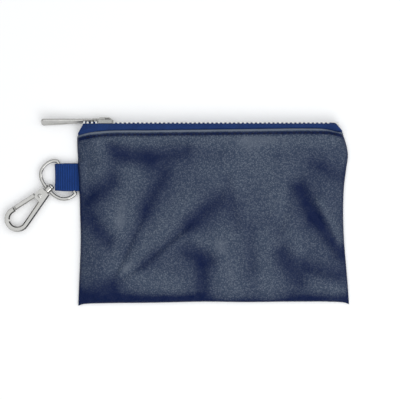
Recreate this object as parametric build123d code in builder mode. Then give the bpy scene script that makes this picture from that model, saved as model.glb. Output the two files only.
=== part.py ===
from build123d import *
import math
import os

# Small zipped cash deposit pouch that lies flat on its back, with a swivel clasp on a side tab.
# Frame: X along the zip, Y towards the zip, Z up from the resting face. Millimetres.

# ---------------------------------------------------------------- driving dimensions
# pouch sheets
SHEET = 0.9                 # coated sheet thickness
WALL_INSET = 1.3            # level distance between outside and inside of the sloped front sheet
PILLOW_TOP = 10.75          # highest level of the front sheet
PILLOW_MID = 5.2            # level of the middle section of the front sheet
LIP_Y = 56.5                # hemmed edge beside the zip
LIP_R = 0.75                # roll of the hem

# outlines, from the zip's left end clockwise
OUTLINE = [
    (-90.6, 50.5),
    (-78.0, LIP_Y),
    (80.5, LIP_Y),
    (87.6, 50.0),
    (89.4, 40.0),
    (86.2, 8.0),
    (89.8, -58.6),
    (-90.2, -60.0),
    (-89.6, -5.0),
]
OUTLINE_MID = [
    (-87.4, 50.8),
    (-77.5, LIP_Y),
    (80.0, LIP_Y),
    (85.4, 50.2),
    (86.2, 40.0),
    (83.0, 8.0),
    (84.6, -51.5),
    (-84.8, -52.5),
    (-86.2, -5.0),
]
OUTLINE_TOP = [
    (-80.0, 51.0),
    (-76.5, LIP_Y),
    (79.0, LIP_Y),
    (79.5, 51.0),
    (78.5, 40.0),
    (75.0, 8.0),
    (71.0, -35.0),
    (-71.0, -35.0),
    (-76.5, -5.0),
]

# topstitching
STITCH_PITCH = 3.9
STITCH_LENGTH = 2.9
STITCH_WIDTH = 0.55
STITCH_HEIGHT = 0.36
STITCH_Y = LIP_Y - 3.2
STITCH_FIRST = -72.0
STITCH_COUNT = 38

# zip chain: its plane leans back by CHAIN_ROLL about X, so the slider's crown faces out and down
CHAIN_Y = 59.0
CHAIN_Z = 4.9
CHAIN_ROLL = 25.0
TOOTH_PITCH = 2.9
TOOTH_COUNT = 56
TOOTH_FIRST = -83.8
STOP_X = -86.1              # the top stops, beyond the first teeth
TOOTH_HALF = 1.3            # half of the chain's thickness
TOOTH_BEVEL = 0.25
TOOTH_SPLAY = 1.0           # how far the unmeshed teeth stand apart
SPLAY_END = -74.5           # fully apart to the left of this
SPLAY_START = -70.5         # fully meshed to the right of this
TAPE = 0.5
TAPE_N = -0.75              # level of the tape in the chain's thickness
TAPE_FIT = 0.03
TAPE_LEFT = -90.0
TAPE_RIGHT = 84.0
TAPE_INNER_Y = 46.5

# slider
SLIDER_LEFT = -78.0
SLIDER_RIGHT = -66.7
SLIDER_HALF = 3.5           # half width over the flanges
CHANNEL_HALF = 3.0
WING_IN = 1.55
WING_OUT = 2.5
POST_HALF = 0.4
CROWN_HALF = 1.0
CROWN_IN = 4.55
CROWN_OUT = 5.4
CROWN_LEFT = -77.3
CROWN_RIGHT = -67.6
SPRING_THICK = 0.2

# puller
PULL_X = -73.0              # cross bar of the puller, along the chain
PULL_N = 3.6                # and above the chain's middle
PULL_BAR_R = 0.6
PULL_EYE_IN = 1.3           # half width of the eye's opening
PULL_EYE_OUT = 2.3
PULL_EYE_LENGTH = 6.7
PULL_LENGTH = 41.8
PULL_HALF_WIDTH = 3.8
PULL_THICK = 1.6
PULL_DROP = 1.9             # the puller lies this many degrees towards the chain

# webbing tab
TAB_Y0 = 15.1
TAB_WIDTH = 18.6
WEB = 1.0
TAB_Z = 2.7                 # middle level of the loop, and of the clasp
TAB_GAP_R = 1.9             # centre line radius of the fold
TAB_FOLD_X = -103.6
TAB_SEAM_X = -90.3
TAB_EASE = 1.1              # length over which the two layers close up at the seam
TAB_END_X = -82.0
TAB_END_Z = 1.75
TAB_STITCH_X = -83.6

# clasp eye
EYE_X = -98.2
EYE_Y = 24.4
EYE_TILT = 29.0             # the eye's straight bar leans this far from Y
EYE_WIRE_R = 1.2
EYE_BAR_HALF = 12.3
EYE_BOW = [
    (-12.3, 0.0),
    (-13.0, 4.0),
    (-11.6, 8.8),
    (-7.6, 12.4),
    (-1.2, 14.4),
    (5.0, 15.2),
    (10.6, 13.6),
    (13.9, 8.6),
    (14.1, 3.4),
    (12.3, 0.0),
]
BOSS_X = -110.2
BOSS_Y = 16.4
BOSS_R = 2.5

# clasp hook, drawn along its own axis from the boss
HOOK_ANGLE = -136.0
HOOK_HALF = 2.1             # half thickness
SHOULDER_T = 2.3
SHOULDER_HALF = 3.5
HOOK_END_T = 28.5           # centre of the rounded end
HOOK_END_R = 8.5
HOOK_HOLE_R = 5.0
HOLE_APEX_T = 10.2
HOLE_APEX_HALF = 1.3
STUD_R = 1.3
STUD_HEAD_R = 2.2
STUD_END_T = 4.3
RIVET_T = 7.0
RIVET_S = -0.8
RIVET_R = 0.75
RIVET_HEAD_R = 1.4
LUG_R = 3.3
GATE_WIDTH = 3.0
GATE_HALF = 1.8
GATE_CLEAR = 0.25
FIT_RUNNING = 0.07
FIT_FIXED = 0.02

os.makedirs("parts", exist_ok=True)

# ---------------------------------------------------------------- shared helpers
LEAN_S = math.sin(math.radians(CHAIN_ROLL))
LEAN_C = math.cos(math.radians(CHAIN_ROLL))
ZIP = Plane(origin=(0, CHAIN_Y, CHAIN_Z), x_dir=(1, 0, 0), z_dir=(0, LEAN_C, -LEAN_S))
EYE_U = (-math.sin(math.radians(EYE_TILT)), math.cos(math.radians(EYE_TILT)), 0)
EYE = Plane(origin=(EYE_X, EYE_Y, TAB_Z), x_dir=EYE_U, z_dir=(0, 0, 1))
HOOK_H = (math.cos(math.radians(HOOK_ANGLE)), math.sin(math.radians(HOOK_ANGLE)), 0)
HOOK = Plane(origin=(BOSS_X, BOSS_Y, TAB_Z), x_dir=HOOK_H, z_dir=(0, 0, 1))


def chain_point(across, out):
    """Where a point of the chain's cross section lies in (y, z)."""
    y = CHAIN_Y + across * LEAN_S + out * LEAN_C
    z = CHAIN_Z + across * LEAN_C - out * LEAN_S
    return (y, z)


def band(points, thickness):
    """Closed polygon of a strip of even thickness along a line of points."""
    left, right = [], []
    last = len(points) - 1
    for i, (px, py) in enumerate(points):
        a = points[max(i - 1, 0)]
        b = points[min(i + 1, last)]
        before = math.atan2(py - a[1], px - a[0]) if i > 0 else None
        after = math.atan2(b[1] - py, b[0] - px) if i < last else None
        before = after if before is None else before
        after = before if after is None else after
        middle = math.atan2(
            math.sin(before) + math.sin(after), math.cos(before) + math.cos(after)
        )
        reach = thickness / 2 / math.cos(math.remainder(after - before, math.tau) / 2)
        left.append((px - reach * math.sin(middle), py + reach * math.cos(middle)))
        right.append((px + reach * math.sin(middle), py - reach * math.cos(middle)))
    return left + right[::-1]


def splay(x):
    """How far the teeth stand from their meshed place at x."""
    share = min(max((SPLAY_START - x) / (SPLAY_START - SPLAY_END), 0), 1)
    return TOOTH_SPLAY * share * share * (3 - 2 * share)


# ---------------------------------------------------------------- back panel
# flat sheet that the pouch lies on, with pockets for its own topstitching
stitch_places = [
    (STITCH_FIRST + i * STITCH_PITCH, STITCH_Y) for i in range(STITCH_COUNT)
]

with BuildPart() as back_panel:
    with BuildSketch(Plane.XY):
        with BuildLine():
            Polyline(*OUTLINE, close=True)
        make_face()
        fillet(vertices(), radius=1.2)
    extrude(amount=SHEET)
    with BuildSketch(Plane.XY):
        with Locations(*stitch_places):
            SlotOverall(STITCH_LENGTH + 0.3, STITCH_WIDTH + 0.2)
    extrude(amount=STITCH_HEIGHT + 0.1, mode=Mode.SUBTRACT)
back_panel.part.label = "back_panel"
export_step(back_panel.part, "parts/back_panel.step")

# ---------------------------------------------------------------- front panel
# shallow tray of the same sheet, open below and beside the zip, with a rolled hem
with BuildPart() as front_panel:
    for outline, level in (
        (OUTLINE, SHEET),
        (OUTLINE_MID, PILLOW_MID),
        (OUTLINE_TOP, PILLOW_TOP),
    ):
        with BuildSketch(Plane.XY.offset(level)):
            with BuildLine():
                Polyline(*outline, close=True)
            make_face()
    loft(ruled=True)
    for outline, level in (
        (OUTLINE, SHEET - 0.01),
        (OUTLINE_MID, PILLOW_MID - 0.45),
        (OUTLINE_TOP, PILLOW_TOP - SHEET),
    ):
        with BuildSketch(Plane.XY.offset(level)):
            with BuildLine():
                Polyline(*outline, close=True)
            make_face()
            offset(amount=-WALL_INSET, kind=Kind.INTERSECTION)
    loft(ruled=True, mode=Mode.SUBTRACT)
    # mouth beside the zip
    with BuildSketch(Plane.XZ.offset(-LIP_Y + 2.0)):
        with BuildLine():
            Polyline(
                (-76.4, SHEET - 0.1),
                (79.0, SHEET - 0.1),
                (78.5, PILLOW_MID - 0.45),
                (77.6, PILLOW_TOP - SHEET),
                (-75.1, PILLOW_TOP - SHEET),
                (-75.9, PILLOW_MID - 0.45),
                close=True,
            )
        make_face()
    extrude(amount=-4.0, mode=Mode.SUBTRACT)
    # rolled hem
    with BuildSketch(Plane.YZ.offset(-75.5)):
        with Locations((LIP_Y, PILLOW_TOP - 0.2)):
            Circle(LIP_R)
        with Locations((LIP_Y, PILLOW_TOP - SHEET - 1.0)):
            Rectangle(4, 2, mode=Mode.SUBTRACT)
    extrude(amount=153.5)
    # slot in the side seam for the webbing tab
    with BuildSketch(Plane.XY.offset(SHEET - 0.1)):
        with Locations((-89.0, TAB_Y0 + TAB_WIDTH / 2)):
            Rectangle(11, TAB_WIDTH + 0.2)
    extrude(amount=2.7, mode=Mode.SUBTRACT)
    # room for the slider's lower wing at the zip's left end
    with BuildSketch(Plane.XY.offset(SHEET + 0.1)):
        with Locations((-78.2, LIP_Y)):
            Rectangle(6.6, 3.0)
    extrude(amount=5.6, mode=Mode.SUBTRACT)
front_panel.part.label = "front_panel"
export_step(front_panel.part, "parts/front_panel.step")

# ---------------------------------------------------------------- topstitching
with BuildPart() as front_topstitch:
    with BuildSketch(Plane.XY.offset(PILLOW_TOP)):
        with Locations(*stitch_places):
            SlotOverall(STITCH_LENGTH, STITCH_WIDTH)
    extrude(amount=STITCH_HEIGHT)
front_topstitch.part.label = "front_topstitch"
export_step(front_topstitch.part, "parts/front_topstitch.step")

with BuildPart() as back_topstitch:
    with BuildSketch(Plane.XY.offset(0.05)):
        with Locations(*stitch_places):
            SlotOverall(STITCH_LENGTH, STITCH_WIDTH)
    extrude(amount=STITCH_HEIGHT)
back_topstitch.part.label = "back_topstitch"
export_step(back_topstitch.part, "parts/back_topstitch.step")

# ---------------------------------------------------------------- zip tapes
# each runs out of the chain, round the slider's flange and back under its panel
front_line = [
    chain_point(1.0, TAPE_N),
    chain_point(3.75, TAPE_N),
    (CHAIN_Y - 0.3, CHAIN_Z + 4.7),
    (TAPE_INNER_Y, CHAIN_Z + 4.7),
]
back_line = [
    chain_point(-1.0, TAPE_N),
    chain_point(-3.75, TAPE_N),
    (CHAIN_Y - 3.2, CHAIN_Z - 3.65),
    (TAPE_INNER_Y, CHAIN_Z - 3.65),
]

with BuildPart() as front_tape:
    with BuildSketch(Plane.YZ.offset(TAPE_LEFT)):
        with BuildLine():
            Polyline(*band(front_line, TAPE), close=True)
        make_face()
    extrude(amount=TAPE_RIGHT - TAPE_LEFT)
    with BuildSketch(Plane.XY.offset(CHAIN_Z + 2.5)):
        with Locations((-84.5, 50.0), (87.0, 50.0)):
            Rectangle(20, 13.8)
    extrude(amount=4, mode=Mode.SUBTRACT)
    # bead cut back where the teeth stand apart
    with BuildSketch(ZIP.offset(TAPE_N - 0.6)):
        with Locations((-81.0, -1.0)):
            Rectangle(21, 2.1)
    extrude(amount=1.2, mode=Mode.SUBTRACT)
front_tape.part.label = "front_tape"
export_step(front_tape.part, "parts/front_tape.step")

with BuildPart() as back_tape:
    with BuildSketch(Plane.YZ.offset(TAPE_LEFT)):
        with BuildLine():
            Polyline(*band(back_line, TAPE), close=True)
        make_face()
    extrude(amount=TAPE_RIGHT - TAPE_LEFT)
    with BuildSketch(Plane.XY.offset(0)):
        with Locations((-84.5, 49.5), (87.0, 49.5)):
            Rectangle(20, 14.4)
    extrude(amount=3, mode=Mode.SUBTRACT)
    with BuildSketch(ZIP.offset(TAPE_N - 0.6)):
        with Locations((-81.0, 1.0)):
            Rectangle(21, 2.1)
    extrude(amount=1.2, mode=Mode.SUBTRACT)
back_tape.part.label = "back_tape"
export_step(back_tape.part, "parts/back_tape.step")

# ---------------------------------------------------------------- zip teeth
# half outline of a tooth: along the chain, away from the chain's middle
TOOTH = [(0.5, 1.9), (0.85, 1.55), (0.85, 0.75), (0.5, 0.5), (0.62, -0.05), (0.38, -0.5)]


def tooth_outline(x, side):
    """Outline of one tooth on the chain's plane; side is -1 for the front row, 1 for the back."""
    away = splay(x)
    half = [(x + a, side * (b + away)) for a, b in TOOTH]
    other = [(x - a, side * (b + away)) for a, b in TOOTH[::-1]]
    return half + other


with BuildPart() as front_teeth:
    with BuildSketch(ZIP.offset(-TOOTH_HALF)):
        for i in range(TOOTH_COUNT):
            Polygon(*tooth_outline(TOOTH_FIRST + i * TOOTH_PITCH, -1), align=None)
    extrude(amount=2 * TOOTH_HALF - TOOTH_BEVEL)
    with BuildSketch(ZIP.offset(TOOTH_HALF - TOOTH_BEVEL)):
        for i in range(TOOTH_COUNT):
            Polygon(*tooth_outline(TOOTH_FIRST + i * TOOTH_PITCH, -1), align=None)
    extrude(amount=TOOTH_BEVEL, taper=35)
    # slot that grips the tape
    with BuildSketch(ZIP.offset(TAPE_N - TAPE / 2 - TAPE_FIT)):
        with Locations((7.0, -2.45)):
            Rectangle(156, 3.0)
        with Locations((-81.0, -3.5)):
            Rectangle(20, 3.0)
    extrude(amount=TAPE + 2 * TAPE_FIT, mode=Mode.SUBTRACT)
front_teeth.part.label = "front_teeth"
export_step(front_teeth.part, "parts/front_teeth.step")

with BuildPart() as back_teeth:
    with BuildSketch(ZIP.offset(-TOOTH_HALF)):
        for i in range(TOOTH_COUNT):
            Polygon(*tooth_outline(TOOTH_FIRST + (i + 0.5) * TOOTH_PITCH, 1), align=None)
    extrude(amount=2 * TOOTH_HALF - TOOTH_BEVEL)
    with BuildSketch(ZIP.offset(TOOTH_HALF - TOOTH_BEVEL)):
        for i in range(TOOTH_COUNT):
            Polygon(*tooth_outline(TOOTH_FIRST + (i + 0.5) * TOOTH_PITCH, 1), align=None)
    extrude(amount=TOOTH_BEVEL, taper=35)
    with BuildSketch(ZIP.offset(TAPE_N - TAPE / 2 - TAPE_FIT)):
        with Locations((7.0, 2.45)):
            Rectangle(156, 3.0)
        with Locations((-81.0, 3.5)):
            Rectangle(20, 3.0)
    extrude(amount=TAPE + 2 * TAPE_FIT, mode=Mode.SUBTRACT)
back_teeth.part.label = "back_teeth"
export_step(back_teeth.part, "parts/back_teeth.step")

# ---------------------------------------------------------------- zip stops
with BuildPart() as top_stops:
    with BuildSketch(ZIP.offset(-TOOTH_HALF)):
        with Locations((STOP_X, -2.45), (STOP_X, 2.45)):
            RectangleRounded(1.4, 1.1, 0.3)
    extrude(amount=2 * TOOTH_HALF)
    with BuildSketch(ZIP.offset(TAPE_N - TAPE / 2 - TAPE_FIT)):
        with Locations((STOP_X, -3.5), (STOP_X, 3.5)):
            Rectangle(3, 3.0)
    extrude(amount=TAPE + 2 * TAPE_FIT, mode=Mode.SUBTRACT)
top_stops.part.label = "top_stops"
export_step(top_stops.part, "parts/top_stops.step")

with BuildPart() as bottom_stop:
    with BuildSketch(ZIP.offset(-TOOTH_HALF)):
        with Locations((81.6, 0)):
            RectangleRounded(2.2, 4.2, 0.4)
    extrude(amount=2 * TOOTH_HALF)
    with BuildSketch(ZIP.offset(TAPE_N - TAPE / 2 - TAPE_FIT)):
        with Locations((81.6, -2.45), (81.6, 2.45)):
            Rectangle(4, 3.0)
    extrude(amount=TAPE + 2 * TAPE_FIT, mode=Mode.SUBTRACT)
bottom_stop.part.label = "bottom_stop"
export_step(bottom_stop.part, "parts/bottom_stop.step")

# ---------------------------------------------------------------- slider body
# two wings joined by the post at the left end, with flanges that turn round the chain
SLIDER_PLAN = [
    (SLIDER_LEFT, -2.0),
    (SLIDER_LEFT + 1.5, -SLIDER_HALF),
    (SLIDER_RIGHT - 1.2, -SLIDER_HALF),
    (SLIDER_RIGHT, -3.1),
    (SLIDER_RIGHT, 3.1),
    (SLIDER_RIGHT - 1.2, SLIDER_HALF),
    (SLIDER_LEFT + 1.5, SLIDER_HALF),
    (SLIDER_LEFT, 2.0),
]
SLIDER_MID = (SLIDER_LEFT + SLIDER_RIGHT) / 2
SLIDER_LENGTH = SLIDER_RIGHT - SLIDER_LEFT

with BuildPart() as slider_body:
    with BuildSketch(ZIP.offset(-WING_OUT)):
        with BuildLine():
            Polyline(*SLIDER_PLAN, close=True)
        make_face()
        fillet(vertices(), radius=0.5)
    extrude(amount=2 * WING_OUT)
    outer_edges = [
        e
        for e in slider_body.edges()
        if abs(abs(ZIP.to_local_coords(e.center()).Z) - WING_OUT) < 0.01
    ]
    fillet(outer_edges, radius=0.4)
    with BuildSketch(ZIP.offset(-WING_IN)):
        with Locations((SLIDER_MID, 0)):
            Rectangle(SLIDER_LENGTH + 2, 2 * CHANNEL_HALF)
    extrude(amount=2 * WING_IN, mode=Mode.SUBTRACT)
    with BuildSketch(ZIP.offset(TAPE_N - 0.4)):
        with Locations((SLIDER_MID, -SLIDER_HALF), (SLIDER_MID, SLIDER_HALF)):
            Rectangle(SLIDER_LENGTH + 2, 1.2)
    extrude(amount=0.8, mode=Mode.SUBTRACT)
    with BuildSketch(ZIP.offset(-WING_IN - 0.2)):
        with BuildLine():
            Polyline(
                (SLIDER_LEFT + 0.3, -0.25),
                (SLIDER_LEFT + 0.8, -POST_HALF),
                (SLIDER_LEFT + 2.0, -POST_HALF),
                (SLIDER_LEFT + 3.2, -0.12),
                (SLIDER_LEFT + 3.2, 0.12),
                (SLIDER_LEFT + 2.0, POST_HALF),
                (SLIDER_LEFT + 0.8, POST_HALF),
                (SLIDER_LEFT + 0.3, 0.25),
                close=True,
            )
        make_face()
    extrude(amount=2 * WING_IN + 0.4)
    # window for the lock spring's pawl
    with BuildSketch(ZIP.offset(WING_IN - 0.1)):
        with Locations((-69.4, 0)):
            Rectangle(1.0, 1.8)
    extrude(amount=WING_OUT - WING_IN + 0.3, mode=Mode.SUBTRACT)
slider_body.part.label = "slider_body"
export_step(slider_body.part, "parts/slider_body.step")

# ---------------------------------------------------------------- slider crown
CROWN = Plane(origin=(0, CHAIN_Y, CHAIN_Z), x_dir=(1, 0, 0), z_dir=(0, LEAN_S, LEAN_C))
with BuildPart() as slider_crown:
    with BuildSketch(CROWN.offset(-CROWN_HALF)):
        with BuildLine():
            Polyline(
                (CROWN_LEFT, WING_OUT),
                (CROWN_LEFT, CROWN_OUT - 1.4),
                (CROWN_LEFT + 1.5, CROWN_OUT),
                (CROWN_RIGHT - 1.9, CROWN_OUT),
                (CROWN_RIGHT, CROWN_OUT - 1.6),
                (CROWN_RIGHT, WING_OUT),
                (CROWN_RIGHT - 0.8, WING_OUT),
                (CROWN_RIGHT - 0.8, CROWN_OUT - 1.75),
                (CROWN_RIGHT - 2.2, CROWN_IN),
                (CROWN_LEFT + 1.9, CROWN_IN),
                (CROWN_LEFT + 0.8, CROWN_OUT - 1.75),
                (CROWN_LEFT + 0.8, WING_OUT),
                close=True,
            )
        make_face()
        fillet(
            [v for v in vertices() if CROWN.to_local_coords(v.center()).Y > WING_OUT + 0.5],
            radius=0.5,
        )
    extrude(amount=2 * CROWN_HALF)
slider_crown.part.label = "slider_crown"
export_step(slider_crown.part, "parts/slider_crown.step")

# ---------------------------------------------------------------- lock spring
# leaf under the crown with a pawl that reaches down through the window
with BuildPart() as lock_spring:
    with BuildSketch(CROWN.offset(-0.6)):
        with BuildLine():
            Polyline(
                (-75.2, CROWN_IN - 0.03),
                (-69.2, CROWN_IN - 0.33),
                (-69.2, WING_IN + 0.15),
                (-69.6, WING_IN + 0.15),
                (-69.6, CROWN_IN - 0.03 - 0.5),
                (-75.2, CROWN_IN - 0.03 - SPRING_THICK + 0.08),
                close=True,
            )
        make_face()
    extrude(amount=1.2)
    with BuildSketch(CROWN.offset(-1.0)):
        with Locations((PULL_X, PULL_N)):
            Circle(PULL_BAR_R + 0.08)
    extrude(amount=2.0, mode=Mode.SUBTRACT)
lock_spring.part.label = "lock_spring"
export_step(lock_spring.part, "parts/lock_spring.step")

# ---------------------------------------------------------------- puller
# long flat tag with an eye whose cross bar lies under the crown
DROP = math.radians(PULL_DROP)
pull_y, pull_z = chain_point(0, PULL_N)
PULL = Plane(
    origin=(PULL_X, pull_y, pull_z),
    x_dir=(-math.cos(DROP), -math.sin(DROP) * LEAN_C, math.sin(DROP) * LEAN_S),
    z_dir=(-math.sin(DROP), math.cos(DROP) * LEAN_C, -math.cos(DROP) * LEAN_S),
)

with BuildPart() as puller:
    with BuildSketch(PULL.offset(-PULL_THICK / 2)):
        with BuildLine():
            Polyline(
                (PULL_EYE_LENGTH + 0.2, -1.6),
                (PULL_LENGTH - 1.2, -PULL_HALF_WIDTH),
                (PULL_LENGTH, -PULL_HALF_WIDTH + 1.4),
                (PULL_LENGTH, PULL_HALF_WIDTH - 1.4),
                (PULL_LENGTH - 1.2, PULL_HALF_WIDTH),
                (PULL_EYE_LENGTH + 0.2, 1.6),
                close=True,
            )
        make_face()
    extrude(amount=PULL_THICK)
    chamfer(puller.edges(), length=0.3)
    # eye
    with BuildSketch(PULL.offset(-0.5)):
        with Locations(((PULL_EYE_LENGTH + 1.1) / 2, 0)):
            Rectangle(PULL_EYE_LENGTH + 1.1, 2 * PULL_EYE_OUT)
        with Locations((PULL_EYE_LENGTH / 2, 0)):
            Rectangle(PULL_EYE_LENGTH, 2 * PULL_EYE_IN, mode=Mode.SUBTRACT)
    extrude(amount=1.0)
    # cross bar
    bar_plane = Plane(
        origin=PULL.from_local_coords(Vector(0, -PULL_EYE_OUT, 0)),
        x_dir=PULL.x_dir,
        z_dir=PULL.y_dir,
    )
    with BuildSketch(bar_plane):
        Circle(PULL_BAR_R)
    extrude(amount=2 * PULL_EYE_OUT)
    # shallow plain panel on the face that shows
    with BuildSketch(PULL.offset(-PULL_THICK / 2)):
        with Locations((PULL_LENGTH - 11.0, 0)):
            RectangleRounded(13.0, 4.2, 1.0)
    extrude(amount=0.2, mode=Mode.SUBTRACT)
puller.part.label = "puller"
export_step(puller.part, "parts/puller.step")

# ---------------------------------------------------------------- webbing tab
# strap folded round the clasp eye's bar, both ends caught in the side seam
fold = []
for i in range(13):
    turn = math.radians(270 - 15 * i)
    fold.append(
        (
            TAB_FOLD_X + TAB_GAP_R * math.cos(turn),
            TAB_Z + TAB_GAP_R * math.sin(turn),
        )
    )
tab_line = [
    (TAB_END_X, TAB_END_Z),
    (TAB_SEAM_X, TAB_END_Z),
    (TAB_SEAM_X - TAB_EASE, TAB_Z - TAB_GAP_R),
    *fold,
    (TAB_SEAM_X - TAB_EASE, TAB_Z + TAB_GAP_R),
    (TAB_SEAM_X, TAB_END_Z + WEB + 0.1),
    (TAB_END_X, TAB_END_Z + WEB + 0.1),
]
with BuildPart() as webbing_tab:
    with BuildSketch(Plane.XZ.offset(-TAB_Y0)):
        with BuildLine():
            Polyline(*band(tab_line, WEB), close=True)
        make_face()
    extrude(amount=-TAB_WIDTH)
webbing_tab.part.label = "webbing_tab"
export_step(webbing_tab.part, "parts/webbing_tab.step")

# ---------------------------------------------------------------- tab stitches
with BuildPart() as tab_stitches:
    with BuildSketch(Plane.XY.offset(TAB_END_Z + 1.5 * WEB + 0.11)):
        with Locations((TAB_STITCH_X, TAB_Y0 + TAB_WIDTH / 2)):
            with GridLocations(1.4, 3.0, 2, 6):
                SlotOverall(2.4, 0.5, rotation=90)
    extrude(amount=0.3)
tab_stitches.part.label = "tab_stitches"
export_step(tab_stitches.part, "parts/tab_stitches.step")

# ---------------------------------------------------------------- clasp eye
# D shaped wire eye with the swivel boss cast on its bow
with BuildPart() as clasp_eye:
    with BuildLine(EYE) as bow:
        Spline(*EYE_BOW)
    with BuildSketch(Plane(origin=bow.line @ 0, z_dir=bow.line % 0)):
        Circle(EYE_WIRE_R)
    sweep(path=bow.line)
    bar_start = EYE.from_local_coords(Vector(-EYE_BAR_HALF, 0, 0))
    with BuildSketch(Plane(origin=bar_start, z_dir=EYE.x_dir)):
        Circle(EYE_WIRE_R)
    extrude(amount=2 * EYE_BAR_HALF)
    for end in (-EYE_BAR_HALF, EYE_BAR_HALF):
        with Locations(EYE.from_local_coords(Vector(end, 0, 0))):
            Sphere(EYE_WIRE_R)
    with BuildSketch(HOOK):
        with BuildLine():
            Polyline(
                (-2.3, 0),
                (-2.3, BOSS_R - 0.5),
                (-1.8, BOSS_R),
                (1.5, BOSS_R),
                (2.0, BOSS_R - 0.5),
                (2.0, 0),
                close=True,
            )
        make_face()
    revolve(axis=Axis(HOOK.origin, HOOK.x_dir))
    with BuildSketch(Plane(origin=HOOK.origin - HOOK.x_dir * 4, z_dir=HOOK.x_dir)):
        Circle(STUD_R + FIT_RUNNING)
    extrude(amount=8, mode=Mode.SUBTRACT)
clasp_eye.part.label = "clasp_eye"
export_step(clasp_eye.part, "parts/clasp_eye.step")

# ---------------------------------------------------------------- swivel stud
with BuildPart() as swivel_stud:
    with BuildSketch(HOOK):
        with BuildLine():
            Polyline(
                (STUD_END_T, 0),
                (STUD_END_T, STUD_R),
                (-2.45, STUD_R),
                (-2.45, STUD_HEAD_R),
                (-3.2, STUD_HEAD_R),
                (-3.8, 1.5),
                (-4.0, 0),
                close=True,
            )
        make_face()
    revolve(axis=Axis(HOOK.origin, HOOK.x_dir))
swivel_stud.part.label = "swivel_stud"
export_step(swivel_stud.part, "parts/swivel_stud.step")


# ---------------------------------------------------------------- hook body
def tangent_point(start, centre_t, radius, side):
    """Where a line from start touches the circle about (centre_t, 0), above or below the axis."""
    dt = centre_t - start[0]
    ds = side * start[1]
    reach = math.hypot(dt, ds)
    slope = math.asin(radius / reach) - math.atan2(ds, dt)
    return (centre_t - radius * math.sin(slope), side * radius * math.cos(slope))


OUT_A = (SHOULDER_T, SHOULDER_HALF)
OUT_B = tangent_point(OUT_A, HOOK_END_T, HOOK_END_R, 1)
IN_A = (HOLE_APEX_T, HOLE_APEX_HALF)
IN_B = tangent_point(IN_A, HOOK_END_T, HOOK_HOLE_R, 1)

with BuildPart() as hook_body:
    with BuildSketch(HOOK.offset(-HOOK_HALF)):
        with BuildLine():
            Line((SHOULDER_T, -SHOULDER_HALF), OUT_A)
            Line(OUT_A, OUT_B)
            ThreePointArc(OUT_B, (HOOK_END_T + HOOK_END_R, 0), (OUT_B[0], -OUT_B[1]))
            Line((OUT_B[0], -OUT_B[1]), (SHOULDER_T, -SHOULDER_HALF))
        make_face()
        with BuildLine():
            Line((IN_A[0], -IN_A[1]), IN_A)
            Line(IN_A, IN_B)
            ThreePointArc(IN_B, (HOOK_END_T + HOOK_HOLE_R, 0), (IN_B[0], -IN_B[1]))
            Line((IN_B[0], -IN_B[1]), (IN_A[0], -IN_A[1]))
        make_face(mode=Mode.SUBTRACT)
    extrude(amount=2 * HOOK_HALF)
    # room for the gate, from the head to the nose
    with BuildSketch(HOOK.offset(-HOOK_HALF - 1)):
        with BuildLine():
            Polyline(
                (5.2, -9.6),
                (24.1, -9.6),
                (25.8, -4.0),
                (25.8, -1.0),
                (10.0, -1.2),
                (8.2, -2.0),
                close=True,
            )
        make_face()
    extrude(amount=2 * HOOK_HALF + 2, mode=Mode.SUBTRACT)
    rims = [
        e
        for e in hook_body.edges()
        if abs(abs(e.center().Z - TAB_Z) - HOOK_HALF) < 0.01
        and HOOK.to_local_coords(e.center()).X > 9
        and e.length > 3
    ]
    chamfer(rims, length=0.8)
    # lug round the rivet
    with BuildSketch(HOOK.offset(-HOOK_HALF)):
        with Locations((RIVET_T, RIVET_S)):
            Circle(LUG_R)
    extrude(amount=2 * HOOK_HALF)
    # slot for the gate's tongue
    with BuildSketch(HOOK.offset(-1.3)):
        with Locations((RIVET_T, RIVET_S)):
            Circle(2.4)
        with BuildLine():
            Polyline(
                (RIVET_T - 1.6, RIVET_S - 1.8),
                (RIVET_T + 1.5, RIVET_S - 6.5),
                (RIVET_T + 6.5, RIVET_S - 3.5),
                (RIVET_T + 6.5, RIVET_S + 1.8),
                (RIVET_T + 1.0, RIVET_S + 2.1),
                close=True,
            )
        make_face()
    extrude(amount=2.6, mode=Mode.SUBTRACT)
    # rivet bore and stud bore
    with BuildSketch(HOOK.offset(-HOOK_HALF - 1)):
        with Locations((RIVET_T, RIVET_S)):
            Circle(RIVET_R + FIT_FIXED)
    extrude(amount=2 * HOOK_HALF + 2, mode=Mode.SUBTRACT)
    with BuildSketch(Plane(origin=HOOK.origin + HOOK.x_dir * 1.5, z_dir=HOOK.x_dir)):
        Circle(STUD_R + FIT_FIXED)
    extrude(amount=STUD_END_T - 1.5 + 0.05, mode=Mode.SUBTRACT)
hook_body.part.label = "hook_body"
export_step(hook_body.part, "parts/hook_body.step")

# ---------------------------------------------------------------- gate
slope = (OUT_B[1] - OUT_A[1]) / (OUT_B[0] - OUT_A[0])


def gate_side(t, depth):
    """A point on the gate's long side, depth inside the hook's outline."""
    return (t, -(SHOULDER_HALF + slope * (t - SHOULDER_T)) + depth)


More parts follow.
